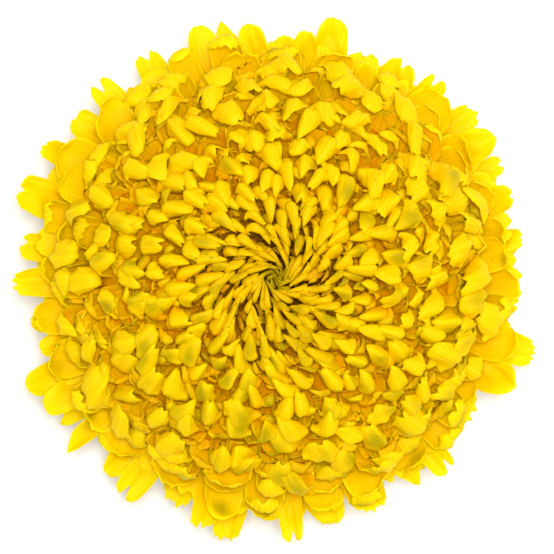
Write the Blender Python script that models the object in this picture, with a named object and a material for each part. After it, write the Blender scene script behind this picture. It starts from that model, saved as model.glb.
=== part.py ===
# Chrysanthemum head, picked and laid face up: a double yellow bloom on its green cup of bracts.
# Run with: blender --background --python part.py
# Metres, +Z up. The origin is on the resting plane, under the middle of the bloom's whole width.
# A floret is a channelled blade. Its centreline lies in a plane through the bloom's axis and is
# given by its heading, the angle from straight up: 90 degrees points outwards, 0 up, -90 inwards.

import math
import random

import bmesh
import bpy
from mathutils import Vector

MM = 0.001
SEED = 12
GOLDEN_ANGLE = math.radians(137.508)
SIDES = 28                  # sides of the turned bodies
SHARP_FROM = math.radians(35)
GAP = 0.3 * MM              # between one node and the next
AXIS = (0.3 * MM, 1.1 * MM)     # the bloom's own axis, a little off the middle of its uneven outline

# The dome that the crown's folded florets come up to
DOME_RADIUS = 65 * MM
DOME_CENTRE_Z = 21 * MM     # height of the dome's widest circle
DOME_RISE = 36 * MM
EYE_DEPTH = 8 * MM          # the hollow in the middle
EYE_WIDTH = 9 * MM

# The core that the florets stand out of: half an ellipsoid over a shallow underside
CORE_RADIUS = 38 * MM
CORE_CENTRE_Z = 20 * MM
CORE_RISE = 22 * MM
CORE_UNDERSIDE = [(36, 17), (26, 14), (17, 12.6), (11, 12.6)]    # radius and height in mm
ROOT_SINK = 2.2 * MM        # how deep a root reaches into the core

# The crown: incurved florets on a golden-angle spiral, wider apart further out
CROWN_FROM = 9.4 * MM
CROWN_TO = 59.5 * MM
SPACING_MIDDLE = 3.6 * MM
SPACING_GROWTH = 0.172      # spacing added for each metre of plan radius
SPACING_MOST = 11.3 * MM
HOOD_SPACINGS = 1.45        # length of a floret's folded end, in spacings
BEND_SHARE = 0.45           # share of that length taken by the bend itself
FORESHORTENED = 0.75        # share of that length that comes on top of the stalk's
# (plan radius in mm, width in spacings): the innermost stand in a ring and have to close it
FULLNESS = [(9, 1.35), (22, 0.95)]
# (plan radius in mm, heading of the floret's end): closed over in the middle, open at the rim
FOLD = [(0, -84), (20, -84), (34, -68), (44, -40), (52, 0), (60, 40)]

# The green parts
STEM_RADIUS = 3.5 * MM
STEM_RIBS = 6
STEM_CUT_Z = 0.8 * MM
CUP_FOOT_Z = 5 * MM
RECEPTACLE = [(0, 18), (4, 17.5), (7.5, 15.8), (10, 12.6)]    # radius and height in mm
CUP = [(14, 12.2), (13.8, 11.4), (11.8, 8.4), (8.5, 6), (5, CUP_FOOT_Z / MM)]
BRACT_WIDTH = 4.2 * MM
# Rows of bracts: count, root radius and height in mm, length in mm, headings, turn in bracts
BRACTS = [
    (10, 5.2, 5.0, 9.6, (84, 50), 0),
    (12, 9.0, 6.8, 7.6, (72, 28), 0.3),
]

# The young florets in the eye, on a small plug of their own
PLUG_RADIUS = 4.6 * MM
PLUG_TOP_Z = 42.6 * MM
PLUG_FOOT_Z = 33 * MM
EYE_RADIUS = 7.2 * MM       # nothing of the crown comes nearer to the axis than this and a gap
YOUNG_FLORETS = 27
YOUNG_WIDTH = 2.2 * MM
YOUNG_SWIRL = 0.9 * MM      # how far a young floret's tip is carried round the eye

BLADE_THICKNESS = 0.85 * MM
THIN_BLADE = 0.7 * MM       # young florets and bracts
WIDEST_AT = 0.7             # share of a floret's length
DRAWN_IN_FROM = 0.78
# Ends of florets: width as a share of the full width, and reach of the middle in half widths
TIPS = {"round": (0.5, 0.5), "notch": (0.7, -0.3), "point": (0.04, 0)}
FINE_STEPS = 60             # steps used to walk along a centreline

# The florets that draw the outline, every second one lower and flatter than the rest
OUTLINE_ROOT_Z = 22.5 * MM
OUTLINE_HEADING = math.radians(78)
OUTLINE_DROP = 3.6 * MM
OUTLINE_FLATTER = math.radians(8)
# Azimuth in degrees, reach and width in mm, and the tip
OUTLINE = [
    (2, 60.5, 5.0, "round"), (9.5, 62.3, 6.6, "notch"), (19, 62.2, 7.4, "notch"),
    (26.5, 63.0, 6.0, "notch"), (33.5, 64.0, 8.6, "round"), (41, 65.4, 7.6, "notch"),
    (50.5, 63.8, 7.6, "notch"), (59, 63.0, 9.6, "notch"), (67.5, 57.0, 6.6, "round"),
    (76.5, 65.8, 9.0, "round"), (83.5, 61.0, 7.2, "round"), (88.5, 60.0, 6.2, "round"),
    (95, 62.8, 7.6, "round"), (101.5, 65.0, 5.4, "round"), (108, 65.3, 8.4, "round"),
    (120.5, 65.3, 8.8, "notch"), (132.5, 65.6, 7.8, "notch"), (141.5, 64.2, 7.8, "round"),
    (149.5, 65.4, 6.8, "round"), (154.5, 61.8, 6.4, "round"), (161, 67.1, 9.6, "notch"),
    (172, 64.2, 7.6, "notch"), (180.5, 65.4, 8.2, "round"), (190, 61.8, 6.6, "round"),
    (196, 60.8, 6.4, "round"), (204, 67.7, 7.6, "round"), (209.5, 65.5, 7.2, "round"),
    (214.5, 65.0, 4.4, "round"), (219, 66.7, 5.0, "round"), (228.5, 64.4, 7.0, "round"),
    (236, 65.5, 8.2, "notch"), (245.5, 62.5, 8.0, "round"), (253.5, 65.0, 7.0, "notch"),
    (259.5, 67.4, 7.8, "round"), (273, 65.6, 6.2, "notch"), (282.5, 62.8, 9.4, "round"),
    (292.5, 63.2, 9.2, "notch"), (304.5, 62.6, 6.6, "notch"), (312.5, 64.4, 7.6, "notch"),
    (323, 59.6, 9.0, "round"), (335.5, 64.3, 8.8, "round"), (343.5, 67.7, 8.0, "notch"),
    (351.5, 59.2, 5.2, "round"), (357, 61.0, 7.0, "notch"),
]

# Rows under the outline: count, root radius and height in mm, reach, width, headings on the way
SKIRT = [
    (24, 33, 15.8, 58.5, 9.6, (93, 98, 98)),
    (18, 25, 15.4, 53.5, 10.4, (98, 112, 104)),
    (12, 17.5, 14.4, 44.5, 11.0, (104, 124, 92)),
]
HOVER_Z = 1.5 * MM          # height of the lowest row's free ends, between those that rest


def material(name, colour, roughness):
    made = bpy.data.materials.new(name)
    made.use_nodes = True
    shader = made.node_tree.nodes["Principled BSDF"]
    shader.inputs["Base Color"].default_value = (*colour, 1)
    shader.inputs["Roughness"].default_value = roughness
    shader.inputs["Metallic"].default_value = 0
    return made


def mesh_object(name, points, faces, finish):
    mesh = bpy.data.meshes.new(name)
    mesh.from_pydata([tuple(p) for p in points], [], faces)
    mesh.materials.append(finish)
    made = bpy.data.objects.new(name, mesh)
    bpy.context.scene.collection.objects.link(made)
    return made


def turned(name, profile, finish, ribs=0, rib_depth=0):
    """A closed solid of revolution, its profile given from the axis at the top to the axis at the foot."""
    (_, top_z), *middle, (_, foot_z) = profile
    points = [Vector((0, 0, top_z)), Vector((0, 0, foot_z))]
    for radius, z in middle:
        for k in range(SIDES):
            turn = 2 * math.pi * k / SIDES
            out = radius + rib_depth * math.cos(ribs * turn)
            points.append(Vector((out * math.cos(turn), out * math.sin(turn), z)))
    faces = []
    last = 2 + (len(middle) - 1) * SIDES
    for k in range(SIDES):
        n = (k + 1) % SIDES
        faces.append((0, 2 + k, 2 + n))
        faces.append((1, last + n, last + k))
        for row in range(len(middle) - 1):
            a = 2 + row * SIDES
            faces.append((a + k, a + SIDES + k, a + SIDES + n, a + n))
    return mesh_object(name, points, faces, finish)


def eased(x):
    x = max(0, min(1, x))
    return x * x * (3 - 2 * x)


def looked_up(table, x):
    """The value at x, straight between the pairs of the table and level past its ends."""
    if x <= table[0][0]:
        return table[0][1]
    for (x0, y0), (x1, y1) in zip(table, table[1:]):
        if x <= x1:
            return y0 + (y1 - y0) * (x - x0) / (x1 - x0)
    return table[-1][1]


def dome_height(radius):
    """Height of the crown over a plan radius: half an ellipse, with a hollow in the middle."""
    across = min(1, radius / DOME_RADIUS)
    hollow = EYE_DEPTH * math.exp(-((radius / EYE_WIDTH) ** 2))
    return DOME_CENTRE_Z + DOME_RISE * math.sqrt(1 - across**2) - hollow


def centreline(length, keys):
    """Points (out, up, heading) from a root at (0, 0). keys are pairs of share of the length and heading."""
    out, up = 0, 0
    found = []
    step = length / FINE_STEPS
    for k in range(FINE_STEPS + 1):
        share = k / FINE_STEPS
        heading = looked_up(keys, share)
        found.append((out, up, heading))
        out += step * math.sin(heading)
        up += step * math.cos(heading)
    return found


def moved(line, out, up):
    return [(o + out, u + up, heading) for o, u, heading in line]


def tilted(line, rise):
    """The centreline with its end raised by rise, and the points before it in step with their reach."""
    far = line[-1][0]
    return [(out, up + rise * out / far, heading) for out, up, heading in line]


def half_width(share, width, base, end):
    """A floret is narrow at its root, then widens, and is drawn in again at its end."""
    swell = base + (1 - base) * eased(share / WIDEST_AT)
    drawn_in = eased((share - DRAWN_IN_FROM) / (1 - DRAWN_IN_FROM))
    return width / 2 * swell * (1 - (1 - end) * drawn_in)


def blade(line, azimuth, stations, width, cup, roll=0, sway=0, tip="round", base=0.3, thick=BLADE_THICKNESS):
    """A floret as a closed blade: four points at each station (left edge, face, right edge, back).

    line is a centreline whose points stand at their real radius and height. cup raises the edges
    towards the face, as a share of the half width. roll twists the end and sway carries it sideways.
    """
    across = Vector((-math.sin(azimuth), math.cos(azimuth), 0))
    outwards = Vector((math.cos(azimuth), math.sin(azimuth), 0))
    tip_width, tip_reach = TIPS[tip]
    points = []
    for share in stations:
        out, up, heading = line[round(share * FINE_STEPS)]
        middle = outwards * out + Vector((0, 0, up)) + across * (sway * share**2)
        along = outwards * math.sin(heading) + Vector((0, 0, math.cos(heading)))
        face = outwards * -math.cos(heading) + Vector((0, 0, math.sin(heading)))
        side = across * math.cos(roll * share) + face * math.sin(roll * share)
        face = along.cross(side)
        half = half_width(share, width, base, tip_width)
        lift = face * (cup * half * eased(share / 0.4))
        reach = tip_reach * half if share == stations[-1] else 0
        points.append(middle - side * half + lift)
        points.append(middle + face * thick / 2 + along * reach)
        points.append(middle + side * half + lift)
        points.append(middle - face * thick / 2 + along * reach)
    faces = [(0, 1, 3), (1, 2, 3)]
    for k in range(0, 4 * (len(stations) - 1), 4):
        left, front, right, back = range(k, k + 4)
        faces += [(left, left + 4, front + 4), (left, front + 4, front)]
        faces += [(right, front, front + 4), (right, front + 4, right + 4)]
        faces += [(left, back + 4, left + 4), (left, back, back + 4)]
        faces += [(right, back + 4, back), (right, right + 4, back + 4)]
    end = 4 * (len(stations) - 1)
    faces += [(end, end + 3, end + 1), (end + 1, end + 3, end + 2)]
    return points, faces


def core_reach(direction):
    """Distance from the core's centre to its upper surface, along a heading."""
    return 1 / math.hypot(math.sin(direction) / CORE_RADIUS, math.cos(direction) / CORE_RISE)


def crown_florets(draw):
    """Incurved florets. Each rises from the core and folds over, its end lying along the dome."""
    radius, azimuth = CROWN_FROM, 0
    while radius < CROWN_TO:
        spacing = min(SPACING_MIDDLE + SPACING_GROWTH * radius, SPACING_MOST)
        height = dome_height(radius) + draw.uniform(-0.7, 0.7) * MM
        direction = math.atan2(radius, height - CORE_CENTRE_Z)
        stalk = math.hypot(radius, height - CORE_CENTRE_Z) - core_reach(direction) + ROOT_SINK
        hood = min(HOOD_SPACINGS * spacing, 1.5 * (radius - EYE_RADIUS))
        length = stalk + FORESHORTENED * hood
        end = math.radians(looked_up(FOLD, radius / MM) + draw.uniform(-9, 9))
        fold = 1 - hood / length
        folded = fold + BEND_SHARE * hood / length
        line = centreline(length, [(fold, direction), (folded, 0.85 * end), (1, end)])
        middle = line[round((1 + folded) / 2 * FINE_STEPS)]
        line = moved(line, radius - middle[0], height - middle[1])
        nearest = min((out for out, up, _ in line if up > PLUG_TOP_Z), default=radius)
        line = moved(line, max(0, EYE_RADIUS + GAP + BLADE_THICKNESS - nearest), 0)
        yield blade(
            line,
            azimuth + draw.uniform(-0.06, 0.06),
            (0, fold, (fold + folded) / 2, folded, 1),
            spacing * looked_up(FULLNESS, radius / MM),
            cup=0.38,
            roll=math.radians(draw.uniform(-10, 10)),
            sway=draw.uniform(-0.12, 0.12) * spacing,
            tip="round" if radius < 26 * MM else "notch",
        )
        radius += spacing**2 / (2 * math.pi * radius)
        azimuth += GOLDEN_ANGLE


def outline_florets(draw):
    """The spread florets that draw the bloom's outline, on two levels so that neighbours pass clear."""
    for number, (degrees, reach, width, tip) in enumerate(OUTLINE):
        lower = number % 2
        length = 1.04 * (reach * MM - CORE_RADIUS + ROOT_SINK)
        level = OUTLINE_HEADING + OUTLINE_FLATTER * lower + math.radians(draw.uniform(-3, 3))
        last = level - math.radians(draw.uniform(-6, 12))
        line = centreline(length, [(0, level), (0.5, level), (1, last)])
        line = moved(line, reach * MM - line[-1][0], OUTLINE_ROOT_Z - OUTLINE_DROP * lower)
        yield blade(
            line,
            math.radians(degrees),
            (0, 0.4, 0.78, 1),
            width * MM,
            cup=0.24,
            roll=math.radians(draw.uniform(-9, 9)),
            tip=tip,
            base=0.42,
        )


def skirt_florets(draw):
    """Rows of long florets under the outline. Every second one of the lowest row lies on the surface."""
    for row, (count, root, root_z, reach, width, headings) in enumerate(SKIRT):
        lowest = row == len(SKIRT) - 1
        for k in range(count):
            rests = lowest and k % 2 == 0
            far = reach + draw.uniform(-1, 1)
            first, middle, last = (math.radians(h) for h in headings)
            keys = [(0, first), (0.4, middle), (0.75, middle), (1, last)]
            line = centreline((far - root) * 1.06 * MM, keys)
            if lowest and not rests:
                line = tilted(line, HOVER_Z - root_z * MM - line[-1][1])
            points, faces = blade(
                moved(line, root * MM, root_z * MM),
                2 * math.pi * (k + 0.31 * row) / count + draw.uniform(-0.02, 0.02),
                (0, 0.42, 0.76, 1),
                width * MM,
                cup=0.05 if rests else 0.2,
                tip="notch" if k % 3 else "round",
                base=0.42,
            )
            yield laid_flat(points) if rests else points, faces


def laid_flat(points):
    """The floret's last two stations brought down on the surface, their backs flat on it."""
    for k in (8, 12):
        for corner, z in ((0, 0), (1, BLADE_THICKNESS), (2, 0), (3, 0)):
            points[k + corner].z = z
    return points


def young_florets(draw):
    """Narrow pointed florets in a swirl. The outer ones lean in over the middle."""
    for k in range(YOUNG_FLORETS):
        out = (EYE_RADIUS - MM) * math.sqrt((k + 0.6) / YOUNG_FLORETS)
        azimuth = k * GOLDEN_ANGLE
        height = dome_height(out) - 1.2 * MM + draw.uniform(-0.5, 0.5) * MM
        root = out * 0.5
        lean = math.atan2(out - root, height - PLUG_TOP_Z) * 1.5
        keys = [(0, lean), (0.55, lean), (1, math.radians(-70))]
        rise = max(up for _, up, _ in centreline(1, keys))
        line = centreline((height - PLUG_TOP_Z + MM) / rise, keys)
        line = moved(line, root, PLUG_TOP_Z - MM)
        yield blade(
            line,
            azimuth,
            (0, 0.45, 0.76, 1),
            YOUNG_WIDTH * (0.8 + 0.3 * out / EYE_RADIUS),
            cup=0.3,
            sway=YOUNG_SWIRL,
            tip="point",
            base=0.45,
            thick=THIN_BLADE,
        )


def bracts(draw):
    """Two rows of pointed scales lying on the outside of the cup."""
    for count, root, root_z, length, headings, turn in BRACTS:
        keys = [(0, math.radians(headings[0])), (1, math.radians(headings[1]))]
        line = moved(centreline(length * MM, keys), root * MM, root_z * MM)
        for k in range(count):
            yield blade(
                line,
                2 * math.pi * (k + turn) / count + draw.uniform(-0.03, 0.03),
                (0, 0.5, 0.82, 1),
                BRACT_WIDTH,
                cup=0.3,
                tip="point",
                base=0.7,
                thick=THIN_BLADE,
            )


def fused(body, blades):
    """The blades joined to the body in one Boolean union, which is then applied."""
    group = bpy.data.collections.new(body.name + "_blades")
    bpy.context.scene.collection.children.link(group)
    finish = body.data.materials[0]
    for k, (points, faces) in enumerate(blades):
        piece = mesh_object(f"{body.name}_{k}", points, faces, finish)
        bpy.context.scene.collection.objects.unlink(piece)
        group.objects.link(piece)
    union = body.modifiers.new("union", "BOOLEAN")
    union.operation = "UNION"
    union.solver = "MANIFOLD"
    union.operand_type = "COLLECTION"
    union.collection = group
    graph = bpy.context.evaluated_depsgraph_get()
    body.data = bpy.data.meshes.new_from_object(body.evaluated_get(graph))
    body.modifiers.clear()
    for piece in list(group.objects):
        bpy.data.objects.remove(piece)
    bpy.data.collections.remove(group)
    keep_outer_shell(body)


def keep_outer_shell(thing):
    """Keeps the largest shell. Those inside it are hollows sealed by the joining, and are filled."""
    mesh = bmesh.new()
    mesh.from_mesh(thing.data)
    left = set(mesh.verts)
    shells = []
    while left:
        shell, edge = set(), [left.pop()]
        while edge:
            vert = edge.pop()
            shell.add(vert)
            for link in vert.link_edges:
                other = link.other_vert(vert)
                if other in left:
                    left.remove(other)
                    edge.append(other)
        shells.append(shell)
    shells.sort(key=len)
    for shell in shells[:-1]:
        bmesh.ops.delete(mesh, geom=list(shell), context="VERTS")
    mesh.to_mesh(thing.data)
    mesh.free()


def ray_florets(draw, finish):
    """The core, with a pocket for the eye's plug on top and a recess for the receptacle below."""
    pocket = PLUG_RADIUS + GAP
    profile = [(0, PLUG_FOOT_Z - GAP), (pocket, PLUG_FOOT_Z - GAP)]
    for k in range(1, 8):
        turn = math.radians(7 + 83 * (k - 1) / 6)
        profile.append((CORE_RADIUS * math.sin(turn), CORE_CENTRE_Z + CORE_RISE * math.cos(turn)))
    profile += [(r * MM, z * MM) for r, z in CORE_UNDERSIDE]
    profile += [(r * MM + (GAP if r else 0), z * MM + GAP) for r, z in reversed(RECEPTACLE[:-1])]
    core = turned("ray_florets", profile, finish)
    blades = [*crown_florets(draw), *outline_florets(draw), *skirt_florets(draw)]
    fused(core, blades)
    return core


def build():
    draw = random.Random(SEED)
    yellow = material("petal yellow", (0.95, 0.72, 0.01), 0.5)
    olive = material("young floret olive yellow", (0.52, 0.46, 0.03), 0.55)
    green = material("bract green", (0.16, 0.27, 0.06), 0.6)
    pale = material("stem green", (0.26, 0.38, 0.12), 0.6)

    ray_florets(draw, yellow)

    plug = [(0, PLUG_TOP_Z), (PLUG_RADIUS * 0.8, PLUG_TOP_Z), (PLUG_RADIUS, PLUG_TOP_Z - 0.9 * MM)]
    plug += [(PLUG_RADIUS, PLUG_FOOT_Z), (0, PLUG_FOOT_Z)]
    fused(turned("young_florets", plug, olive), young_florets(draw))

    cup = [(r * MM, z * MM) for r, z in RECEPTACLE[:-1] + [(10, 12.3)] + CUP] + [(0, CUP_FOOT_Z)]
    fused(turned("involucre", cup, green), bracts(draw))

    stem_top = CUP_FOOT_Z - GAP
    stem = [(0, stem_top), (STEM_RADIUS, stem_top), (STEM_RADIUS, STEM_CUT_Z), (0, STEM_CUT_Z)]
    turned("stem", stem, pale, ribs=STEM_RIBS, rib_depth=0.25 * MM)


def main():
    for thing in list(bpy.data.objects):
        bpy.data.objects.remove(thing)
    build()
    for thing in bpy.data.objects:
        thing.location = (*AXIS, 0)
        thing.data.shade_smooth()
        thing.data.set_sharp_from_angle(angle=SHARP_FROM)
        print(thing.name, "triangles", sum(len(p.vertices) - 2 for p in thing.data.polygons))


main()
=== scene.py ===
import math

import bpy
import numpy as np
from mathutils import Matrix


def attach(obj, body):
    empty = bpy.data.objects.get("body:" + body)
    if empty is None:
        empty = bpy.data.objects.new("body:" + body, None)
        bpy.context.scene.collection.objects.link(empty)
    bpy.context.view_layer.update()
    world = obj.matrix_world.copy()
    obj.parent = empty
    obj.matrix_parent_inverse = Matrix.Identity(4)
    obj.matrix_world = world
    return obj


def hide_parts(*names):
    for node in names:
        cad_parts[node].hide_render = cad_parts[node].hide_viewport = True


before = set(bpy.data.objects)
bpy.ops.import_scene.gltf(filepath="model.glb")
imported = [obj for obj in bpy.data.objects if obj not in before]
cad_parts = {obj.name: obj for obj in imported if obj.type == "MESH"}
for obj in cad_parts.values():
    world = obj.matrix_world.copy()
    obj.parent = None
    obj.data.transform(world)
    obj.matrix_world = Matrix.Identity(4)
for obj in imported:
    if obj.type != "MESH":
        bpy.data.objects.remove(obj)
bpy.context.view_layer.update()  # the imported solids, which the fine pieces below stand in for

# A double yellow chrysanthemum bloom, picked and laid face up.
# Every floret is one sheet carried along a centreline: its heading, measured from straight up, turns along
# its length, its width swells and draws in, and its cross-section is an arc that opens towards its face.
# Lengths in the dictionaries are millimetres and angles are degrees, unless a note says otherwise.
# In a "form" dictionary a pair is a range, from which each floret draws its own value.

mm = 0.001
fineSteps = 120  # steps along a centreline before the sheet's rows are read from it
goldenAngle = 137.508
upwards = np.array([0.0, 0.0, 1.0])
draw = np.random.default_rng(11)

bloom = {
    "axis": (0.3, 1.1),  # the bloom's own axis, a little off the middle of its outline
    "domeRadius": 65.0,
    "domeFoot": 21.0,  # height of the dome's widest circle
    "domeRise": 36.0,
    "eyeDepth": 8.0,  # of the hollow in the dome's middle
    "eyeWidth": 9.0,
    "coreRadius": 37.5,
    "coreHeight": 20.0,  # height of the core's widest circle
    "coreRise": 21.5,
    "rootSink": 2.2,  # how far the crown's florets reach into the core
    # plan radius and height past the dome's upper part, down to the outline
    "slopeFrom": 48.0,
    "slope": [(48, 47.0), (53, 40.0), (58, 31.0), (66, 23.0)],
}


# shared shapes

def smooth(x):
    # 0 below 0 and 1 above 1, between them 3x^2 - 2x^3
    x = np.clip(x, 0, 1)
    return x * x * (3 - 2 * x)


def lookedUp(table, x):
    # straight between the pairs of the table, level past its ends
    return np.interp(x, [pair[0] for pair in table], [pair[1] for pair in table])


def spread(count, low, high):
    # one random number for each floret, evenly between low and high
    return draw.uniform(low, high, count)


def domeHeight(out):
    # half an ellipse over the plan radius, less a bell-shaped hollow for the eye
    across = np.clip(out / bloom["domeRadius"], 0, 1)
    hollow = bloom["eyeDepth"] * np.exp(-(out / bloom["eyeWidth"]) ** 2)
    return bloom["domeFoot"] + bloom["domeRise"] * np.sqrt(1 - across**2) - hollow


def depthBelow(points):
    # how far points lie under the bloom's outer surface: the dome, and past it a slope down to the outline
    plan = np.hypot(points[..., 0], points[..., 1])
    surface = np.where(plan < bloom["slopeFrom"], domeHeight(plan), lookedUp(bloom["slope"], plan))
    return surface - points[..., 2]


def coreReach(direction):
    # from the core's centre to its upper surface: an ellipse in polar form, direction from straight up
    return 1 / np.hypot(np.sin(direction) / bloom["coreRadius"], np.cos(direction) / bloom["coreRise"])


def centreLines(length, keys):
    # heading(t) is the first heading plus every change times smooth((t - from) / (to - from));
    # out and up are the sums of its sine and its cosine along the length
    t = np.linspace(0, 1, fineSteps + 1)[None]
    shares, headings = (np.stack([np.broadcast_to(value, length.shape) for value in values], 1)
                        for values in zip(*keys))
    headings = np.radians(headings)
    heading = headings[:, :1] + 0 * t
    for k in range(len(keys) - 1):
        first, last = shares[:, k:k + 1], shares[:, k + 1:k + 2]
        change = headings[:, k + 1:k + 2] - headings[:, k:k + 1]
        heading += change * smooth((t - first) / (last - first))
    step = length[:, None] / fineSteps
    out, up = (np.cumsum(part(heading) * step, 1) - part(heading[:, :1]) * step for part in (np.sin, np.cos))
    return {"out": out, "up": up, "heading": heading, "length": length}


def readAt(values, t):
    # the fine values of each centreline at the shares t, straight between its steps
    place = np.clip(t, 0, 1) * fineSteps
    low = np.minimum(place.astype(int), fineSteps - 1)
    flat = low.reshape(len(low), -1)
    below = np.take_along_axis(values, flat, 1).reshape(t.shape)
    above = np.take_along_axis(values, flat + 1, 1).reshape(t.shape)
    return below + (above - below) * (place - low)


tipShapes = {
    # in half widths: the end's fall at its edges and at its corners, the depth of its cleft and of its teeth
    "point": (1.10, 0.10, 0.00, 0.05),
    "round": (0.12, 0.45, 0.00, 0.06),
    "notch": (0.10, 0.35, 0.45, 0.10),
    "lobes": (0.00, 0.45, 0.80, 0.06),
    "ragged": (0.25, 0.25, 0.25, 0.34),
    "square": (0.05, 0.22, 0.12, 0.12),
}


def firstAbove(choices, x):
    # of pairs of a choice and its limit, the first choice whose limit is above x
    return next(choice for choice, limit in choices if x < limit)


def tipsOf(kinds, cut):
    # cut is the share of the clefts and teeth that is kept
    point, corner, cleft, teeth = np.array([tipShapes[kind] for kind in kinds]).T
    count = len(kinds)
    return {
        "point": point * spread(count, 0.85, 1.15),
        "corner": corner * spread(count, 0.8, 1.2),
        "cleft": cleft * cut * spread(count, 0.7, 1.2),
        "teeth": teeth * cut * spread(count, 0.7, 1.3),
        "lean": spread(count, -0.4, 0.4),
        "cleftAt": spread(count, -0.25, 0.25),
        "toothTurns": spread(count, 1.6, 2.8),
        "toothStart": spread(count, 0, 1),
    }


floretForm = {
    # what a floret has unless its own "form" says otherwise; the ranges are drawn from in this order
    "straight": 0.3, "base": 0.5, "widestAt": 0.6, "end": 0.8, "endFrom": 0.4, "keel": 0, "keelAt": 0,
    "crumple": (0.01, 0.04), "cupRoot": 0.9, "cupTip": 1, "pleat": 0.03, "pleatTurns": 3, "ruffle": 0.05,
    "ruffleTurns": 2, "ruffleStart": (0, 1), "dent": 0.05, "roll": 0, "sway": 0,
}


def formOf(changes, count):
    # a pair becomes one drawn value for each floret, a number the same value for all
    return {name: spread(count, *value) if isinstance(value, tuple) else value
            for name, value in {**floretForm, **changes}.items()}


def column(values):
    return np.asarray(values, float).reshape(-1, 1, 1)


sheetShape = {
    "rootRows": 0.2,  # share of the rows spent on the straight root
    "leanPower": 1.25, "cornerPower": 3.5,
    "cleftWidth": 0.2,  # in half widths
    "narrowFrom": 0.72, "narrowOver": 0.28,  # shares of the length over which the end draws in
    "cuppedAt": 0.8, "pleatedAt": 0.5,
    "rufflePower": 1.6, "ruffleFrom": 0.45, "ruffleOver": 0.4, "sidesApart": 1.7,
    "dentBend": 2.2, "dentShift": 9, "dentFrom": 0.6, "dentOver": 0.3,
    "creases": 3, "creasesAlong": (-2.5, 2.5), "creasesAcross": (-1.2, 1.2),
    "swayPower": 1.5,
}


def floretSheets(line, azimuth, width, kinds, form, rows, columns, cut=1.0):
    # The sheet of every floret at once, as points [floret, row, column].
    # t = u - u^4 * fall(v) * half width / length, so that the end is cut to its outline;
    # sideways = half * sin(cup v) / cup and lift = half * (1 - cos(cup v)) / cup, plus pleats, ruffles,
    # a dent, a keel |v - keelAt| - 1/2 and creases, each growing from its own share of the length.
    tip = {name: column(value) for name, value in tipsOf(kinds, cut).items()}
    form = {name: column(value) for name, value in form.items()}
    shape = sheetShape
    x = np.linspace(0, 1, rows)[None, :, None]
    v = np.linspace(-1, 1, columns)[None, None, :]
    few, straight = shape["rootRows"], form["straight"]
    u = np.where(x < few, x / few * straight, straight + (x - few) / (1 - few) * (1 - straight))
    half, length = column(width) / 2, column(line["length"])
    sawtooth = np.abs(2 * ((v * tip["toothTurns"] + tip["toothStart"]) % 1) - 1)
    fall = tip["point"] * np.abs(v - tip["lean"]) ** shape["leanPower"]
    fall += tip["corner"] * np.abs(v) ** shape["cornerPower"]
    fall += tip["cleft"] * np.exp(-((v - tip["cleftAt"]) / shape["cleftWidth"]) ** 2)
    fall += tip["teeth"] * sawtooth
    t = u - u**4 * fall * half / length
    swell = form["base"] + (1 - form["base"]) * smooth(t / form["widestAt"])
    narrowed = smooth((t - shape["narrowFrom"]) / shape["narrowOver"])
    half = half * swell * (1 - (1 - form["end"]) * narrowed)
    cup = form["cupRoot"] + (form["cupTip"] - form["cupRoot"]) * smooth(t / shape["cuppedAt"])
    sideways = half * np.sin(cup * v) / cup
    lift = half * (1 - np.cos(cup * v)) / cup
    pleats = np.cos(math.pi * form["pleatTurns"] * v) * smooth(t / shape["pleatedAt"])
    lift += form["pleat"] * half * pleats
    phase = 2 * math.pi * (form["ruffleTurns"] * t + form["ruffleStart"]) + shape["sidesApart"] * np.sign(v)
    ruffled = smooth((t - shape["ruffleFrom"]) / shape["ruffleOver"])
    lift += form["ruffle"] * half * np.abs(v) ** shape["rufflePower"] * ruffled * np.sin(phase)
    dented = smooth((t - shape["dentFrom"]) / shape["dentOver"])
    wave = np.sin(shape["dentBend"] * v + form["ruffleStart"] * shape["dentShift"])
    lift += form["dent"] * half * wave * dented
    ended = np.clip((t - form["endFrom"]) / (1 - form["endFrom"]), 0, 1)
    lift += form["keel"] * half * (np.abs(v - form["keelAt"]) - 0.5) * smooth(ended * 2)
    for _ in range(shape["creases"]):
        alongTurns = column(spread(len(t), *shape["creasesAlong"]))
        acrossTurns = column(spread(len(t), *shape["creasesAcross"]))
        crease = np.sin(2 * math.pi * (alongTurns * ended + acrossTurns * v + column(spread(len(t), 0, 1))))
        lift += form["crumple"] * half * crease * smooth(ended * 2)

    out, up, heading = (readAt(line[name], t)[..., None] for name in ("out", "up", "heading"))
    turn, roll = column(np.radians(azimuth)), (np.radians(form["roll"]) * t)[..., None]
    zero = np.zeros_like(t)
    outwards = np.stack([np.cos(turn) + zero, np.sin(turn) + zero, zero], -1)
    across = np.stack([-np.sin(turn) + zero, np.cos(turn) + zero, zero], -1)
    face = upwards * np.sin(heading) - outwards * np.cos(heading)
    side = across * np.cos(roll) + face * np.sin(roll)
    face = face * np.cos(roll) - across * np.sin(roll)
    drift = form["sway"] * ended ** shape["swayPower"]
    points = outwards * out + upwards * up + across * drift[..., None]
    points = points + side * sideways[..., None] + face * lift[..., None]
    return points, t, v + zero


def unit(vectors):
    return vectors / np.maximum(np.linalg.norm(vectors, axis=-1, keepdims=True), 1e-9)


def normalsOf(points):
    # row step cross column step, which points to the face's side
    return unit(np.cross(np.gradient(points, axis=1), np.gradient(points, axis=2)))


def shells(points, thickness):
    # front and back stand half the thickness off the sheet along its normal;
    # the thickness falls away towards the edges and the end
    normal = normalsOf(points)
    rows, columns = points.shape[1:3]
    x = np.linspace(0, 1, rows)[:, None]
    v = np.linspace(-1, 1, columns)[None]
    half = thickness / 2 * (1 - 0.6 * v**4) * (1 - 0.5 * smooth((x - 0.85) / 0.15))
    return np.concatenate([points + normal * half[..., None], points - normal * half[..., None]], 1)


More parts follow.
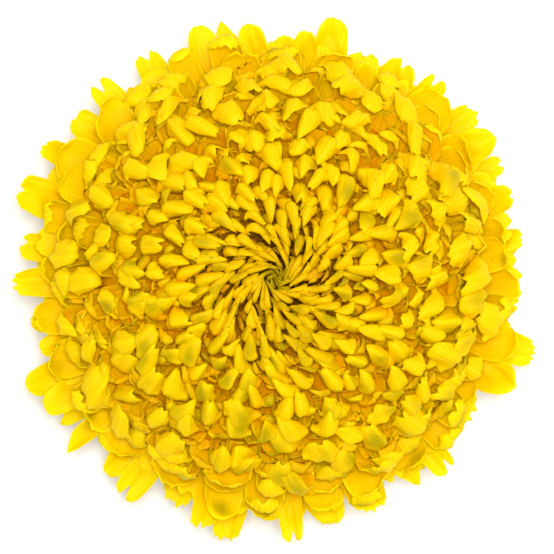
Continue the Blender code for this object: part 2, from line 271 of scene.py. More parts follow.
def shellFaces(rows, columns):
    # the quads of one shell: its front, its back turned round, and a strip round the rim
    index = np.arange(rows * columns).reshape(rows, columns)
    front = np.stack([index[:-1, :-1], index[1:, :-1], index[1:, 1:], index[:-1, 1:]], -1).reshape(-1, 4)
    back = front[:, ::-1] + rows * columns
    rim = np.concatenate([index[0, :-1], index[:-1, -1], index[-1, :0:-1], index[:0:-1, 0]])
    after = np.roll(rim, -1)
    strip = np.stack([rim, after, after + rows * columns, rim + rows * columns], -1)
    return np.concatenate([front, back, strip])


def meshPiece(name, points, faces, softFaces, facts, material):
    # facts are named numbers kept at each point
    mesh = bpy.data.meshes.new(name)
    mesh.vertices.add(len(points))
    mesh.vertices.foreach_set("co", (points * mm).astype(np.float32).ravel())
    mesh.loops.add(faces.size)
    mesh.loops.foreach_set("vertex_index", faces.astype(np.int32).ravel())
    mesh.polygons.add(len(faces))
    mesh.polygons.foreach_set("loop_start", np.arange(0, faces.size, faces.shape[1], dtype=np.int32))
    mesh.polygons.foreach_set("use_smooth", softFaces)
    mesh.update(calc_edges=True)
    mesh.validate()
    for fact, values in facts.items():
        kept = mesh.attributes.new(fact, "FLOAT", "POINT")
        kept.data.foreach_set("value", values.astype(np.float32).ravel())
    mesh.materials.append(material)
    piece = bpy.data.objects.new(name, mesh)
    bpy.context.scene.collection.objects.link(piece)
    print(name, len(faces) * (faces.shape[1] - 2), "triangles")
    return piece


def onAxis(points):
    return points + np.array([*bloom["axis"], 0.0])


def standIn(piece, node):
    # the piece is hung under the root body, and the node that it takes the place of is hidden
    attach(piece, "root")
    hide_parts(node)


factNames = ("along", "across", "depth", "tone", "blush", "plan")


def floretPiece(name, node, material, thickness, parts):
    # parts are (sheet points, t, v, depth, tone, blush); all their shells go into one mesh;
    # the narrow strip round each floret is shaded flat, so that its face stays bright up to the edge
    points, faces, softFaces, start = [], [], [], 0
    facts = {fact: [] for fact in factNames}
    for sheet, t, v, depth, tone, blush in parts:
        count, rows, columns = t.shape
        pattern = shellFaces(rows, columns)
        each = 2 * rows * columns
        points.append(onAxis(shells(sheet, thickness)).reshape(-1, 3))
        faces.append((pattern[None] + (start + each * np.arange(count))[:, None, None]).reshape(-1, 4))
        softFaces.append(np.tile(np.arange(len(pattern)) < 2 * (rows - 1) * (columns - 1), count))
        start += each * count
        plan = np.hypot(sheet[..., 0], sheet[..., 1]) / bloom["domeRadius"]
        for values, kept in zip((t, v, depth, column(tone) + 0 * t, blush, plan), facts.values()):
            kept.append(np.concatenate([values, values], 1).ravel())
    facts = {fact: np.concatenate(values) for fact, values in facts.items()}
    points, faces, softFaces = (np.concatenate(values) for values in (points, faces, softFaces))
    standIn(meshPiece(name, points, faces, softFaces, facts, material), node)


# finishes

class Wire:
    # one output of a material's nodes; arithmetic on it adds Math nodes, and add() makes any other node
    def __init__(self, tree, socket=None):
        self.tree = tree
        self.socket = socket

    def add(self, kind, settings=None, inputs=None, output=0):
        node = self.tree.nodes.new(kind)
        for name, value in (settings or {}).items():
            setattr(node, name, value)
        for key, value in (inputs or {}).items():
            if isinstance(value, Wire):
                self.tree.links.new(value.socket, node.inputs[key])
            else:
                node.inputs[key].default_value = value
        return Wire(self.tree, node.outputs[output])

    def maths(self, operation, first, second):
        return self.add("ShaderNodeMath", {"operation": operation}, {0: first, 1: second})

    def __add__(self, other):
        return self.maths("ADD", self, other)

    def __radd__(self, other):
        return self.maths("ADD", other, self)

    def __sub__(self, other):
        return self.maths("SUBTRACT", self, other)

    def __rsub__(self, other):
        return self.maths("SUBTRACT", other, self)

    def __mul__(self, other):
        return self.maths("MULTIPLY", self, other)

    def __rmul__(self, other):
        return self.maths("MULTIPLY", other, self)

    def sine(self):
        return self.add("ShaderNodeMath", {"operation": "SINE"}, {0: self})

    def between(self, low, high):
        # 0 at low and 1 at high, eased, and held past them
        return self.add("ShaderNodeMapRange", {"interpolation_type": "SMOOTHSTEP"},
                        {"Value": self, "From Min": low, "From Max": high})

    def mix(self, first, second):
        # first where this is 0, second where it is 1; both are colours
        first, second = (c if isinstance(c, Wire) else (*c, 1.0) for c in (first, second))
        return self.add("ShaderNodeMix", {"data_type": "RGBA"}, {0: self, 6: first, 7: second}, 2)


def finish(name, constants):
    # a new material with its Principled shader's fixed values;
    # gives the material, a start for wires and a way to join them to the shader
    material = bpy.data.materials.new(name)
    material.use_nodes = True
    tree = material.node_tree
    shader = tree.nodes["Principled BSDF"]
    for socket, value in constants.items():
        shader.inputs[socket].default_value = value

    def join(socket, wire):
        tree.links.new(wire.socket, shader.inputs[socket])

    return material, Wire(tree), join


def fact(wire, name):
    return wire.add("ShaderNodeAttribute", {"attribute_name": name}, output=2)


def speckle(wire, scale, detail=2.0):
    place = wire.add("ShaderNodeTexCoord", output=3)
    return wire.add("ShaderNodeTexNoise", inputs={"Vector": place, "Scale": scale, "Detail": detail})


def relief(wire, strength, distance, height):
    return wire.add("ShaderNodeBump", inputs={"Strength": strength, "Distance": distance, "Height": height})


petalLook = {
    # painted highlight on the lit ends and edges
    "highlightLemon": (0.87, 0.665, 0),
    "yellow": (0.83, 0.55, 0),
    # painted shade on the flanks of each floret
    "golden": (0.86, 0.53, 0),
    # orange and deep: painted shade that grows with depth under the dome; orange is also the tone of the fine
    # lines
    "orange": (0.82, 0.36, 0),
    "outerShadeOrange": (0.82, 0.46, 0),  # painted shade like orange, in the bloom's outer half
    "deep": (0.80, 0.29, 0),
    "shadeBrown": (0.30, 0.09, 0),  # painted shade deep between the florets near the eye
    "olive": (0.40, 0.31, 0),
    "shaded": (0.72, 0.44, 0),  # the florets round the eye
    "shadedAt": (0.55, 0.97),  # shares of the way in to the axis
    "outerFrom": (0.3, 0.6),  # shares of the way out where the painted shade grows lighter orange
    "innerFrom": (0.62, 0.88),  # shares of the way in where the painted shade in the gaps turns brown
    "highlightFrom": (0.72, 1.0),  # shares of the way out where the painted highlight on the ends begins
    "orangeFrom": 1.2,  # mm below the dome where the painted shade starts to turn the yellow orange
    "orangeTo": 4.5,
    "deepTo": 13.0,
    "veins": 26.0,
    "patchScale": 160.0, "grainScale": 420.0,
    "fixed": {
        "Specular IOR Level": 0.06,
        "Subsurface Weight": 0.7, "Subsurface Radius": (1.0, 0.9, 0.1), "Subsurface Scale": 0.0004,
    },
}


def petalFinish(name, look, roughness):
    # yellow with painted highlight on the lemon ends and edges and painted shade on the golden flanks;
    # painted shade with depth, orange and then brown; olive patches and fine lines
    material, start, join = finish(name, {"Roughness": roughness, **look["fixed"]})
    along, across, depth, tone, blush, plan = (fact(start, name) for name in factNames)
    patches = speckle(start, look["patchScale"])
    lines = ((across + patches * 0.12) * look["veins"]).sine()
    rim = across * across
    # painted highlight: the ends, and a little the edges, turn lemon towards the outline, and the very tips
    # everywhere
    ends = along.between(0.5, 0.95) * 0.7 + rim * 0.35 + 0.15
    bright = along.between(0.85, 1.0) * 0.4 + plan.between(*look["highlightFrom"]) * ends
    colour = bright.between(0.0, 1.0).mix(look["yellow"], look["highlightLemon"])
    # painted shade: the flanks turn golden, except at the very tip and near the outline
    shadedFlanks = rim.between(0.2, 1.0) * (1 - along.between(0.9, 1.0))
    colour = (shadedFlanks * 0.75 * (1 - plan.between(0.7, 0.95))).mix(colour, look["golden"])
    # painted highlight along the edges
    colour = (rim.between(0.8, 1.0) * 0.5).mix(colour, look["highlightLemon"])
    colour = ((1 - plan).between(*look["shadedAt"]) * 0.85).mix(colour, look["shaded"])
    # painted shade: with depth under the dome the colour turns orange, then deep orange, and near the eye
    # brown
    shadeDepth = depth - tone + patches * 1.5 - 0.75
    orange = shadeDepth.between(look["orangeFrom"], look["orangeTo"])
    outer = plan.between(*look["outerFrom"])
    inner = (1 - plan).between(*look["innerFrom"])
    deepestShade = inner.mix(outer.mix(look["deep"], look["outerShadeOrange"]), look["shadeBrown"])
    colour = (orange * 0.9).mix(colour, outer.mix(look["orange"], look["outerShadeOrange"]))
    colour = shadeDepth.between(look["orangeTo"], look["deepTo"]).mix(colour, deepestShade)
    colour = (inner * orange * 0.7).mix(colour, look["shadeBrown"])
    colour = (blush * (patches * 0.8 + 0.5)).between(0.12, 1.0).mix(colour, look["olive"])
    colour = (lines.between(0.2, 1.0) * 0.10).mix(colour, look["orange"])
    join("Base Color", colour)
    join("Roughness", patches * 0.25 + (roughness - 0.12))
    join("Normal", relief(start, 0.25, 0.0002, lines * 0.5 + speckle(start, look["grainScale"]) * 0.8))
    return material


petal = petalFinish("petalYellow", petalLook, 0.5)


# the crown of incurved florets

crown = {
    "from": 4.6, "to": 51.5,  # plan radius of the folded ends
    "spacing": 1.6,  # between florets at the middle
    "spacingGrowth": 0.128,  # added for each mm outwards
    "unevenOut": (-0.3, 0.3),  # how far each strays from its place, in spacings
    "unevenRound": (-0.32, 0.32),
    "unevenHeight": 1.4,
    # each of these is plan radius and value; the folded end's length and the width are in spacings
    "hood": [(5, 2.4), (10, 2.5), (20, 2.05), (30, 1.75), (38, 1.55), (46, 1.4), (55, 1.3)],
    "width": [(5, 1.3), (9, 1.45), (20, 1.5), (32, 1.55), (42, 1.5), (55, 1.45)],
    "bend": [(5, 0.5), (20, 0.6), (55, 0.65)],  # share of the folded end taken by the bend
    "cup": [(5, 1.2), (12, 1.35), (30, 1.4), (45, 1.2), (55, 1.0)],
    "swirl": [(5, -0.9), (12, -0.6), (20, -0.25), (40, -0.05)],  # the end's way round, in spacings
    # the folded end's heading: straight up is 0 and straight inwards -90
    "heading": [(5, -112), (7, -112), (10, -104), (14, -88), (20, -70),
                (34, -62), (44, -55), (50, -48), (55, -30)],
    "hoodLimit": (1.9, 2.2),  # near the axis: this many times the plan radius past this one
    "hoodSpread": (0.72, 1.3),
    "widthSpread": (0.7, 1.2),
    "headingSpread": (-18, 18),
    "curl": 40,  # how much further the tip turns down
    "curlSpread": (0.2, 1.8),
    # kinds of end with their running shares, and the plan radius up to which they hold
    "ends": [
        ([("point", 0.85), ("ragged", 1)], 13),
        ([("point", 0.55), ("ragged", 0.75), ("lobes", 0.88), ("notch", 1)], 24),
        ([("point", 0.3), ("ragged", 0.65), ("notch", 0.9), ("lobes", 1)], 40),
        ([("ragged", 0.35), ("notch", 0.65), ("round", 1)], 99),
    ],
    "cut": 0.55,
    "form": {
        "base": 0.6, "keel": (0.45, 1.15), "keelAt": (-0.4, 0.4), "crumple": (0.04, 0.13), "cupRoot": 0.8,
        "cupTip": (0.75, 1.25), "pleat": 1, "ruffle": (0.5, 1.3), "ruffleTurns": (1.5, 3.5), "dent": 1,
        "roll": (-1, 1), "sway": (-0.6, 0.6),
    },
    # what these are multiplied by at the middle, and what is added to it towards the crown's edge
    "formOutwards": {
        "keel": (1, -0.65), "crumple": (0.9, -0.3), "pleat": (0.03, 0.03),
        "ruffle": (0.06, 0.14), "dent": (0.05, 0.1), "roll": (17, 3),
    },
    "blushed": 0.5,  # share with an olive patch, more of them towards -Y
    "thickness": 0.3,
    # the pieces of the top layer: name, plan radii from and to, rows and columns of each sheet
    "top": [("crownInner", 0, 31, 14, 9), ("crownOuter", 31, 99, 18, 13)],
    # less folded layers show between them: how far each lies below, its turn, the plan radius it starts at
    # and its share of the fold
    "lower": [(3.0, 75, 0, 0.45), (4.6, 160, 12, 0.2), (6.6, 250, 20, 0.12)],
}
# of an olive patch: its size along t and v, its strength, and how much likelier it is towards -Y
blushPatch = {"length": 0.11, "width": 0.7, "strength": (0.5, 1.0), "least": 0.15, "towardsLow": 1.25}


def spiral(first, last, spacing, growth):
    # plan radii one golden angle apart, each floret taking an area of one spacing squared
    radii = [first]
    while radii[-1] < last:
        apart = spacing + growth * radii[-1]
        radii.append(radii[-1] + apart**2 / (2 * math.pi * radii[-1]))
    radii = np.array(radii)
    return radii, np.arange(len(radii)) * goldenAngle


def blushOf(azimuth, t, v, place, share):
    # olive patches near the fold: a bell in t and v, likelier towards -Y, the lower side of the picture
    count = len(azimuth)
    low = 0.5 - 0.5 * np.sin(np.radians(azimuth))
    chance = share * (blushPatch["least"] + blushPatch["towardsLow"] * low)
    strength = spread(count, *blushPatch["strength"])
    strength *= spread(count, 0, 1) < chance
    bell = ((t - column(place)) / blushPatch["length"]) ** 2
    bell += ((v - column(spread(count, -0.5, 0.5))) / blushPatch["width"]) ** 2
    return column(strength) * np.exp(-bell)


def crownSheets(low, high, sink, turn, folding, rows, columns):
    # the florets with plan radii from low to high; each folded end's middle is put on the dome, less the sink
    radius, azimuth = spiral(crown["from"], crown["to"], crown["spacing"], crown["spacingGrowth"])
    chosen = (radius >= low) & (radius < high)
    radius, azimuth = radius[chosen], azimuth[chosen] + turn
    count = len(radius)
    apart = crown["spacing"] + crown["spacingGrowth"] * radius
    radius += spread(count, *crown["unevenOut"]) * apart
    azimuth += np.degrees(spread(count, *crown["unevenRound"]) * apart / radius)
    height = domeHeight(radius) - sink + spread(count, -1, 1) * crown["unevenHeight"]
    direction = np.arctan2(radius, height - bloom["coreHeight"])
    stalk = np.hypot(radius, height - bloom["coreHeight"]) - coreReach(direction) + bloom["rootSink"]
    times, past = crown["hoodLimit"]
    hood = np.minimum(lookedUp(crown["hood"], radius) * apart, times * (radius - past))
    hood = hood * spread(count, *crown["hoodSpread"]) * folding
    length = stalk + 0.75 * hood
    fold = 1 - hood / length
    folded = fold + lookedUp(crown["bend"], radius) * hood / length
    level = lookedUp(crown["heading"], radius) + spread(count, *crown["headingSpread"])
    last = level - crown["curl"] * spread(count, *crown["curlSpread"])
    risen = np.degrees(direction)
    line = centreLines(length, [(0.0, risen), (fold - 0.04, risen - 4), (folded, level), (1.0, last)])
    middle = ((1 + folded) / 2)[:, None]
    line["out"] += radius[:, None] - readAt(line["out"], middle)
    line["up"] += height[:, None] - readAt(line["up"], middle)
    picks = spread(count, 0, 1)
    kinds = [firstAbove(firstAbove(crown["ends"], plan), pick) for plan, pick in zip(radius, picks)]
    outer = smooth((radius - 20) / 30)
    form = formOf(crown["form"], count)
    for name, (middleShare, change) in crown["formOutwards"].items():
        form[name] *= middleShare + change * outer
    form["straight"], form["endFrom"] = fold - 0.05, fold
    form["end"] = 0.42 + 0.3 * smooth((radius - 12) / 20)
    form["cupTip"] *= lookedUp(crown["cup"], radius)
    form["sway"] = (lookedUp(crown["swirl"], radius) + form["sway"] * smooth((radius - 4) / 10)) * apart
    width = lookedUp(crown["width"], radius) * apart * spread(count, *crown["widthSpread"])
    sheet, t, v = floretSheets(line, azimuth, width, kinds, form, rows, columns, crown["cut"])
    blush = blushOf(azimuth, t, v, folded - 0.03, crown["blushed"])
    return sheet, t, v, depthBelow(sheet), spread(count, -1, 1), blush


for name, low, high, rows, columns in crown["top"]:
    topParts = [crownSheets(low, high, 0, 0, 1, rows, columns)]
    floretPiece(name, "ray_florets", petal, crown["thickness"], topParts)
lowerParts = [crownSheets(low, 99, sink, turn, folding, 9, 7) for sink, turn, low, folding in crown["lower"]]
floretPiece("crownLower", "ray_florets", petal, crown["thickness"], lowerParts)


# the shoulder: broad half-open florets between the crown and the outline, a share of them folded inwards

shoulder = {
    # count, root radius and height, reach, width, headings at the root, half way and at the end, share folded
    "rows": [
        (24, 34.5, 29.5, 52.5, 12.6, (56, 64, -25), 0.7),
        (26, 35.5, 26.6, 55.8, 12.4, (64, 71, 0), 0.55),
        (28, 36.5, 24.2, 59.2, 12.0, (72, 77, 30), 0.4),
    ],
    "unevenReach": (-2.4, 2.4),
    "headingSpread": (-6, 6),
    "foldedHeading": (-115, -65), "foldedEnd": (6.0, 9.0),  # last heading and length of a folded end
    "openSpread": (-22, 22), "openEnd": (4.0, 7.0),  # and of an open one
    "foldedWidth": 0.88, "foldedCup": 0.3,
    "widthSpread": (0.8, 1.15),
    "ends": [("ragged", 0.25), ("notch", 0.6), ("round", 1)],
    "cut": 0.7,
    "form": {
        "base": 0.55, "endFrom": 0.3, "keel": (-0.05, 0.1), "keelAt": (-0.3, 0.3), "cupTip": (0.6, 1.0),
        "pleatTurns": 4, "ruffle": (0.08, 0.22), "ruffleTurns": (0.8, 2.0), "dent": 0.1,
        "roll": (-18, 18), "sway": (-1.2, 1.0),
    },
    "blushed": 0.4,
    "thickness": 0.3,
}


def faceDepth(t):
    # how deep a spread floret's face counts for the painted shade: 7 mm at its root and 0 at its end
    return 7 * (1 - t) ** 1.5


def shoulderSheets(row, rows, columns):
    count, rootOut, rootUp, reach, width, headings, share = shoulder["rows"][row]
    far = reach + spread(count, *shoulder["unevenReach"])
    hooded = spread(count, 0, 1) < share
    first, middle, last = (heading + spread(count, *shoulder["headingSpread"]) for heading in headings)
    turnedIn = spread(count, *shoulder["foldedHeading"])
    last = np.where(hooded, turnedIn, last + spread(count, *shoulder["openSpread"]))
    hood = np.where(hooded, spread(count, *shoulder["foldedEnd"]), spread(count, *shoulder["openEnd"]))
    length = (far - rootOut) * 1.08 + 0.7 * hood
    fold = 1 - hood / length
    turned = fold + 0.7 * (1 - fold)
    keys = [(0.0, first), (0.6 * fold, middle), (fold, middle - 8), (turned, 0.85 * last), (1.0, last)]
    line = centreLines(length, keys)
    line["out"] = line["out"] * ((far - rootOut)[:, None] / line["out"].max(1, keepdims=True)) + rootOut
    line["up"] += rootUp
    azimuth = 360 * (np.arange(count) + 0.37 * row) / count + spread(count, -2.6, 2.6)
    kinds = [firstAbove(shoulder["ends"], pick) for pick in spread(count, 0, 1)]
    form = formOf(shoulder["form"], count)
    form["cupTip"] += shoulder["foldedCup"] * hooded
    widths = width * spread(count, *shoulder["widthSpread"]) * np.where(hooded, shoulder["foldedWidth"], 1)
    sheet, t, v = floretSheets(line, azimuth, widths, kinds, form, rows, columns, shoulder["cut"])
    blush = blushOf(azimuth, t, v, fold + 0.3 * (1 - fold), shoulder["blushed"])
    return sheet, t, v, faceDepth(t), spread(count, -1, 1), blush


shoulderParts = [shoulderSheets(row, 18, 13) for row in range(len(shoulder["rows"]))]
floretPiece("shoulderFlorets", "ray_florets", petal, shoulder["thickness"], shoulderParts)


# the spread florets that draw the outline

outline = {
    "rootOut": 35.8, "rootUp": 22.5,
    "drop": 3.6,  # every second floret starts this much lower
    "heading": 78.0, "headingSpread": (-3, 3),
    "flatter": 8.0,  # how much flatter the lower ones lie
    "droop": (-14, 30),  # how much the ends turn up again
    "thickness": 0.32,
    "form": {
        "widestAt": 0.62, "keel": (-0.1, 0.2), "keelAt": (-0.3, 0.3), "crumple": (0.03, 0.08),
        "cupTip": (0.35, 0.9), "pleat": 0.035, "pleatTurns": 4, "ruffle": (0.12, 0.34),
        "ruffleTurns": (0.8, 2.0), "dent": 0.1, "roll": (-22, 22), "sway": (-1.0, 1.0),
    },
    "blushed": 0.15,
    # azimuth, reach, width, kind of end
    "florets": [
        (2, 61.2, 5.4, "point"), (9.5, 62.3, 7, "square"), (19, 62.2, 7.8, "notch"),
        (26.5, 63.4, 6.6, "notch"), (33.5, 64.4, 9.2, "round"), (41, 65.6, 8, "ragged"),
        (50.5, 64, 8.2, "lobes"), (59, 63.2, 10, "notch"), (67.5, 58, 7.4, "round"),
        (76.5, 66.5, 9.6, "round"), (83.5, 61.4, 7.6, "round"), (88.5, 60.4, 6.8, "round"),
        (95, 63.2, 8, "round"), (101.5, 65.6, 6, "point"), (108, 65.5, 9, "round"),
        (120.5, 65.2, 9.4, "notch"), (132.5, 66, 8.4, "lobes"), (141.5, 64.4, 8.6, "square"),
        (149.5, 66, 7.4, "square"), (154.5, 62.4, 7, "round"), (161, 67.6, 10.4, "notch"),
        (172, 64.4, 8.2, "notch"), (180.5, 65.8, 8.6, "ragged"), (190, 62.2, 7.2, "round"),
        (196, 61.2, 7, "round"), (204, 67.8, 8.2, "round"), (209.5, 65.9, 7.8, "round"),
        (214.5, 65.4, 5, "point"), (219, 67.2, 5.6, "point"), (228.5, 64.8, 7.6, "round"),
        (236, 66.7, 8.8, "lobes"), (245.5, 62.9, 8.4, "ragged"), (253.5, 65, 7.6, "ragged"),
        (259.5, 67.5, 8.6, "ragged"), (273, 65.6, 6.6, "lobes"), (282.5, 63.2, 10, "round"),
        (292.5, 63.3, 9.8, "ragged"), (304.5, 63, 7, "point"), (312.5, 64.5, 8.2, "lobes"),
        (323, 59.8, 9.6, "round"), (335.5, 64.6, 9.4, "round"), (343.5, 68, 8.8, "ragged"),
        (351.5, 60.4, 5.6, "point"), (357, 61.2, 7.4, "notch"),
    ],
}


def outlineSheets(rows, columns):
    azimuth, reach, width, kinds = zip(*outline["florets"])
    azimuth, reach, width = np.array(azimuth, float), np.array(reach), np.array(width)
    count = len(azimuth)
    lower = np.arange(count) % 2
    level = outline["heading"] + outline["flatter"] * lower + spread(count, *outline["headingSpread"])
    length = 1.05 * (reach - outline["rootOut"])
    last = level - spread(count, *outline["droop"])
    line = centreLines(length, [(0.0, level - 6), (0.45, level + 4), (1.0, last)])
    line["out"] += reach[:, None] - line["out"][:, -1:]
    line["up"] += (outline["rootUp"] - outline["drop"] * lower)[:, None]
    form = formOf(outline["form"], count)
    sheet, t, v = floretSheets(line, azimuth, width, kinds, form, rows, columns)
    blush = blushOf(azimuth, t, v, 0.7, outline["blushed"])
    return sheet, t, v, faceDepth(t), spread(count, -1, 1), blush


# the rows below the outline

skirt = {
    # count, root radius and height, reach, width, headings on the way
    "rows": [
        (32, 39.0, 26.5, 58.5, 9.4, (86, 93, 92)),
        (30, 36.8, 20.5, 58.5, 9.0, (90, 96, 95)),
        (30, 30.0, 15.8, 59.0, 8.6, (93, 98, 96)),
        (24, 21.0, 15.2, 53.5, 9.4, (96, 108, 102)),
        (20, 12.4, 13.6, 46.0, 9.0, (92, 106, 100)),
        (12, 12.6, 13.0, 44.5, 11.0, (98, 118, 94)),
    ],
    "rest": 0.25,  # height of every second end of the lowest row, on the surface
    "hover": 1.5,  # and of that row's other ends
    "clear": 0.17,  # the lowest that any sheet comes
    "widthSpread": (0.9, 1.1),
    "ends": [("round", 0.4), ("notch", 0.75), ("ragged", 1)],
    "form": {
        "widestAt": 0.65, "end": 0.75, "cupRoot": 0.8, "cupTip": 0.45, "pleat": 0.05,
        "ruffle": (0.08, 0.2), "ruffleTurns": (1.0, 2.2), "roll": (-9, 9), "sway": (-0.5, 0.5),
    },
    # the lowest row is smoother, because the bloom lies on it
    "lowestForm": {
        "crumple": 0, "cupTip": 0.12, "pleat": 0.02, "ruffle": (0.02, 0.05), "dent": 0, "roll": (-2, 2),
    },
    "thickness": 0.32,
}


def skirtSheets(row, rows, columns):
    count, rootOut, rootUp, reach, width, (first, middle, last) = skirt["rows"][row]
    lowest = row == len(skirt["rows"]) - 1
    number = np.arange(count)
    far = reach + spread(count, -1, 1)
    keys = [(0.0, first), (0.4, middle), (0.75, middle - 3), (1.0, last)]
    line = centreLines((far - rootOut) * 1.06, keys)
    foot = line["up"][:, -1] + rootUp
    wanted = np.where(number % 2 == 0, skirt["rest"], skirt["hover"]) if lowest else foot
    line["up"] = line["up"] + rootUp + (wanted - foot)[:, None] * (line["out"] / line["out"][:, -1:])
    if lowest:
        line["up"] = np.maximum(line["up"], skirt["rest"])
    line["out"] += rootOut
    azimuth = 360 * (number + 0.31 * row) / count + spread(count, -2, 2)
    kinds = [firstAbove(skirt["ends"], pick) for pick in spread(count, 0, 1)]
    form = formOf({**skirt["form"], **(skirt["lowestForm"] if lowest else {})}, count)
    widths = width * spread(count, *skirt["widthSpread"])
    sheet, t, v = floretSheets(line, azimuth, widths, kinds, form, rows, columns)
    sheet[..., 2] = np.maximum(sheet[..., 2], skirt["clear"])
    # the depth for the painted shade: 4 mm at the root and 0 at the end
    return sheet, t, v, 4 * (1 - t), spread(count, -1, 1), 0 * t


rimParts = [outlineSheets(24, 17)]
skirtParts = [skirtSheets(row, 16, 9) for row in range(len(skirt["rows"]))]
floretPiece("rimFlorets", "ray_florets", petal, outline["thickness"], rimParts)
floretPiece("skirtFlorets", "ray_florets", petal, skirt["thickness"], skirtParts)


# turned bodies: the heart of the bloom, the cup and the stem

def roundedProfile(corners, steps):
    # points straight between the corners, then smoothed by averaging each with its neighbours
    place = np.linspace(0, len(corners) - 1, steps)
    profile = np.stack([np.interp(place, np.arange(len(corners)), values) for values in zip(*corners)], 1)
    for _ in range(3):
        profile[1:-1] = (profile[:-2] + 2 * profile[1:-1] + profile[2:]) / 4
    profile[[0, -1], 0] = 0.02
    return profile


def turnedPiece(name, node, material, sides, profile, ribs=0, ribDepth=0.0):
    # radius(turn) = radius + ribDepth * cos(ribs * turn);
    # the profile runs from the axis at the top to the axis below
    radius, height = np.array(profile, float).T
    turn = np.linspace(0, 2 * math.pi, sides, endpoint=False)[None]
    out = radius[:, None] + np.where(radius[:, None] > 0.05, ribDepth * np.cos(ribs * turn), 0)
    points = np.stack([out * np.cos(turn), out * np.sin(turn), height[:, None] + 0 * turn], -1)
    index = np.arange(out.size).reshape(-1, sides)
    after = np.roll(index, -1, 1)
    faces = np.stack([index[:-1], index[1:], after[1:], after[:-1]], -1).reshape(-1, 4)
    facts = {
        "along": np.linspace(0, 1, len(profile))[:, None] + 0 * turn,
        "across": np.linspace(0, 1, sides, endpoint=False)[None] + 0 * out,
    }
    softFaces = np.ones(len(faces), bool)
    standIn(meshPiece(name, onAxis(points).reshape(-1, 3), faces, softFaces, facts, material), node)


heart = {
    "deep": (0.56, 0.22, 0),
    "pale": (0.72, 0.33, 0),
    "shadeBrown": (0.16, 0.06, 0),  # painted shade under the eye
    "base": (0.66, 0.58, 0.08),  # its underside, where the florets' pale bases meet the cup
    "below": 8.0,  # how far its top stays under the dome
    "eyeFloor": 42.0,  # height of its top under the eye
    "eyeEdge": (3, 10),  # plan radii over which that floor rises to the rest of its top
    "reach": 41.0,  # where its top turns down
    "side": [(43.2, 38.4), (43.6, 35.6), (42.2, 30.0), (38.6, 23.0), (36.5, 17.6)],
    "under": [(34, 16.4), (26, 14.4), (17, 12.9), (11.2, 12.9),
              (10.6, 13.4), (8, 16.1), (4, 17.8), (0.02, 18.3)],
}


def heartFinish():
    material, start, join = finish("heartOrange", {"Roughness": 0.8, "Specular IOR Level": 0.0})
    along, patches = fact(start, "along"), speckle(start, 260.0, 4.0)
    colour = patches.between(0.35, 0.7).mix(heart["deep"], heart["pale"])
    # painted shade: brown at the top, under the eye
    colour = along.between(0.12, 0.4).mix(heart["shadeBrown"], colour)
    join("Base Color", along.between(0.77, 0.83).mix(colour, heart["base"]))
    join("Normal", relief(start, 0.5, 0.0005, patches))
    return material


heartOut = np.linspace(0.02, heart["reach"], 22)
heartTop = domeHeight(heartOut) - heart["below"]
inside, outside = heart["eyeEdge"]
risen = smooth((heartOut - inside) / (outside - inside))
heartTop = heart["eyeFloor"] + (heartTop - heart["eyeFloor"]) * risen
heartProfile = list(zip(heartOut, heartTop)) + heart["side"] + heart["under"]
turnedPiece("heartTissue", "ray_florets", heartFinish(), 64, heartProfile)


# the young florets of the eye

eye = {
    # count, plan radius of the folded ends, length folded in, width, turn of the tips at the end
    "groups": [
        (22, (5.6, 9.0), 7.8, 2.1, -122),
        (22, (0.6, 4.6), 3.4, 1.6, -150),
    ],
    "rootHeight": 41.6,
    "rootShare": 0.62,  # plan radius of each root, as a share of its folded end's
    "sink": 0.6,  # below the dome
    "unevenOut": (-0.4, 0.4), "unevenRound": (-8, 8), "unevenHeight": (-0.9, 0.9),
    "swirl": -2.4,  # how far the tips are carried round, clockwise
    "form": {
        "base": 0.7, "widestAt": 0.55, "end": 0.5, "keel": (0.1, 0.6), "keelAt": (-0.4, 0.4),
        "crumple": (0.01, 0.05), "cupRoot": 1, "cupTip": (1.0, 1.5), "pleat": 0.04,
        "roll": (-28, 28), "sway": (-0.4, 0.4),
    },
    "thickness": 0.26,
    "look": {
        # the painted highlight and painted shade colours as for the petals, darker for the young florets
        "highlightLemon": (0.90, 0.62, 0), "yellow": (0.78, 0.47, 0), "golden": (0.52, 0.31, 0),
        "orange": (0.40, 0.22, 0), "outerShadeOrange": (0.40, 0.22, 0), "deep": (0.14, 0.08, 0),
        "shadeBrown": (0.10, 0.05, 0), "olive": (0.15, 0.12, 0), "shaded": (0.30, 0.23, 0),
        "shadedAt": (0.9, 1.0), "orangeFrom": 1.5, "deepTo": 8.0, "veins": 14.0,
    },
}


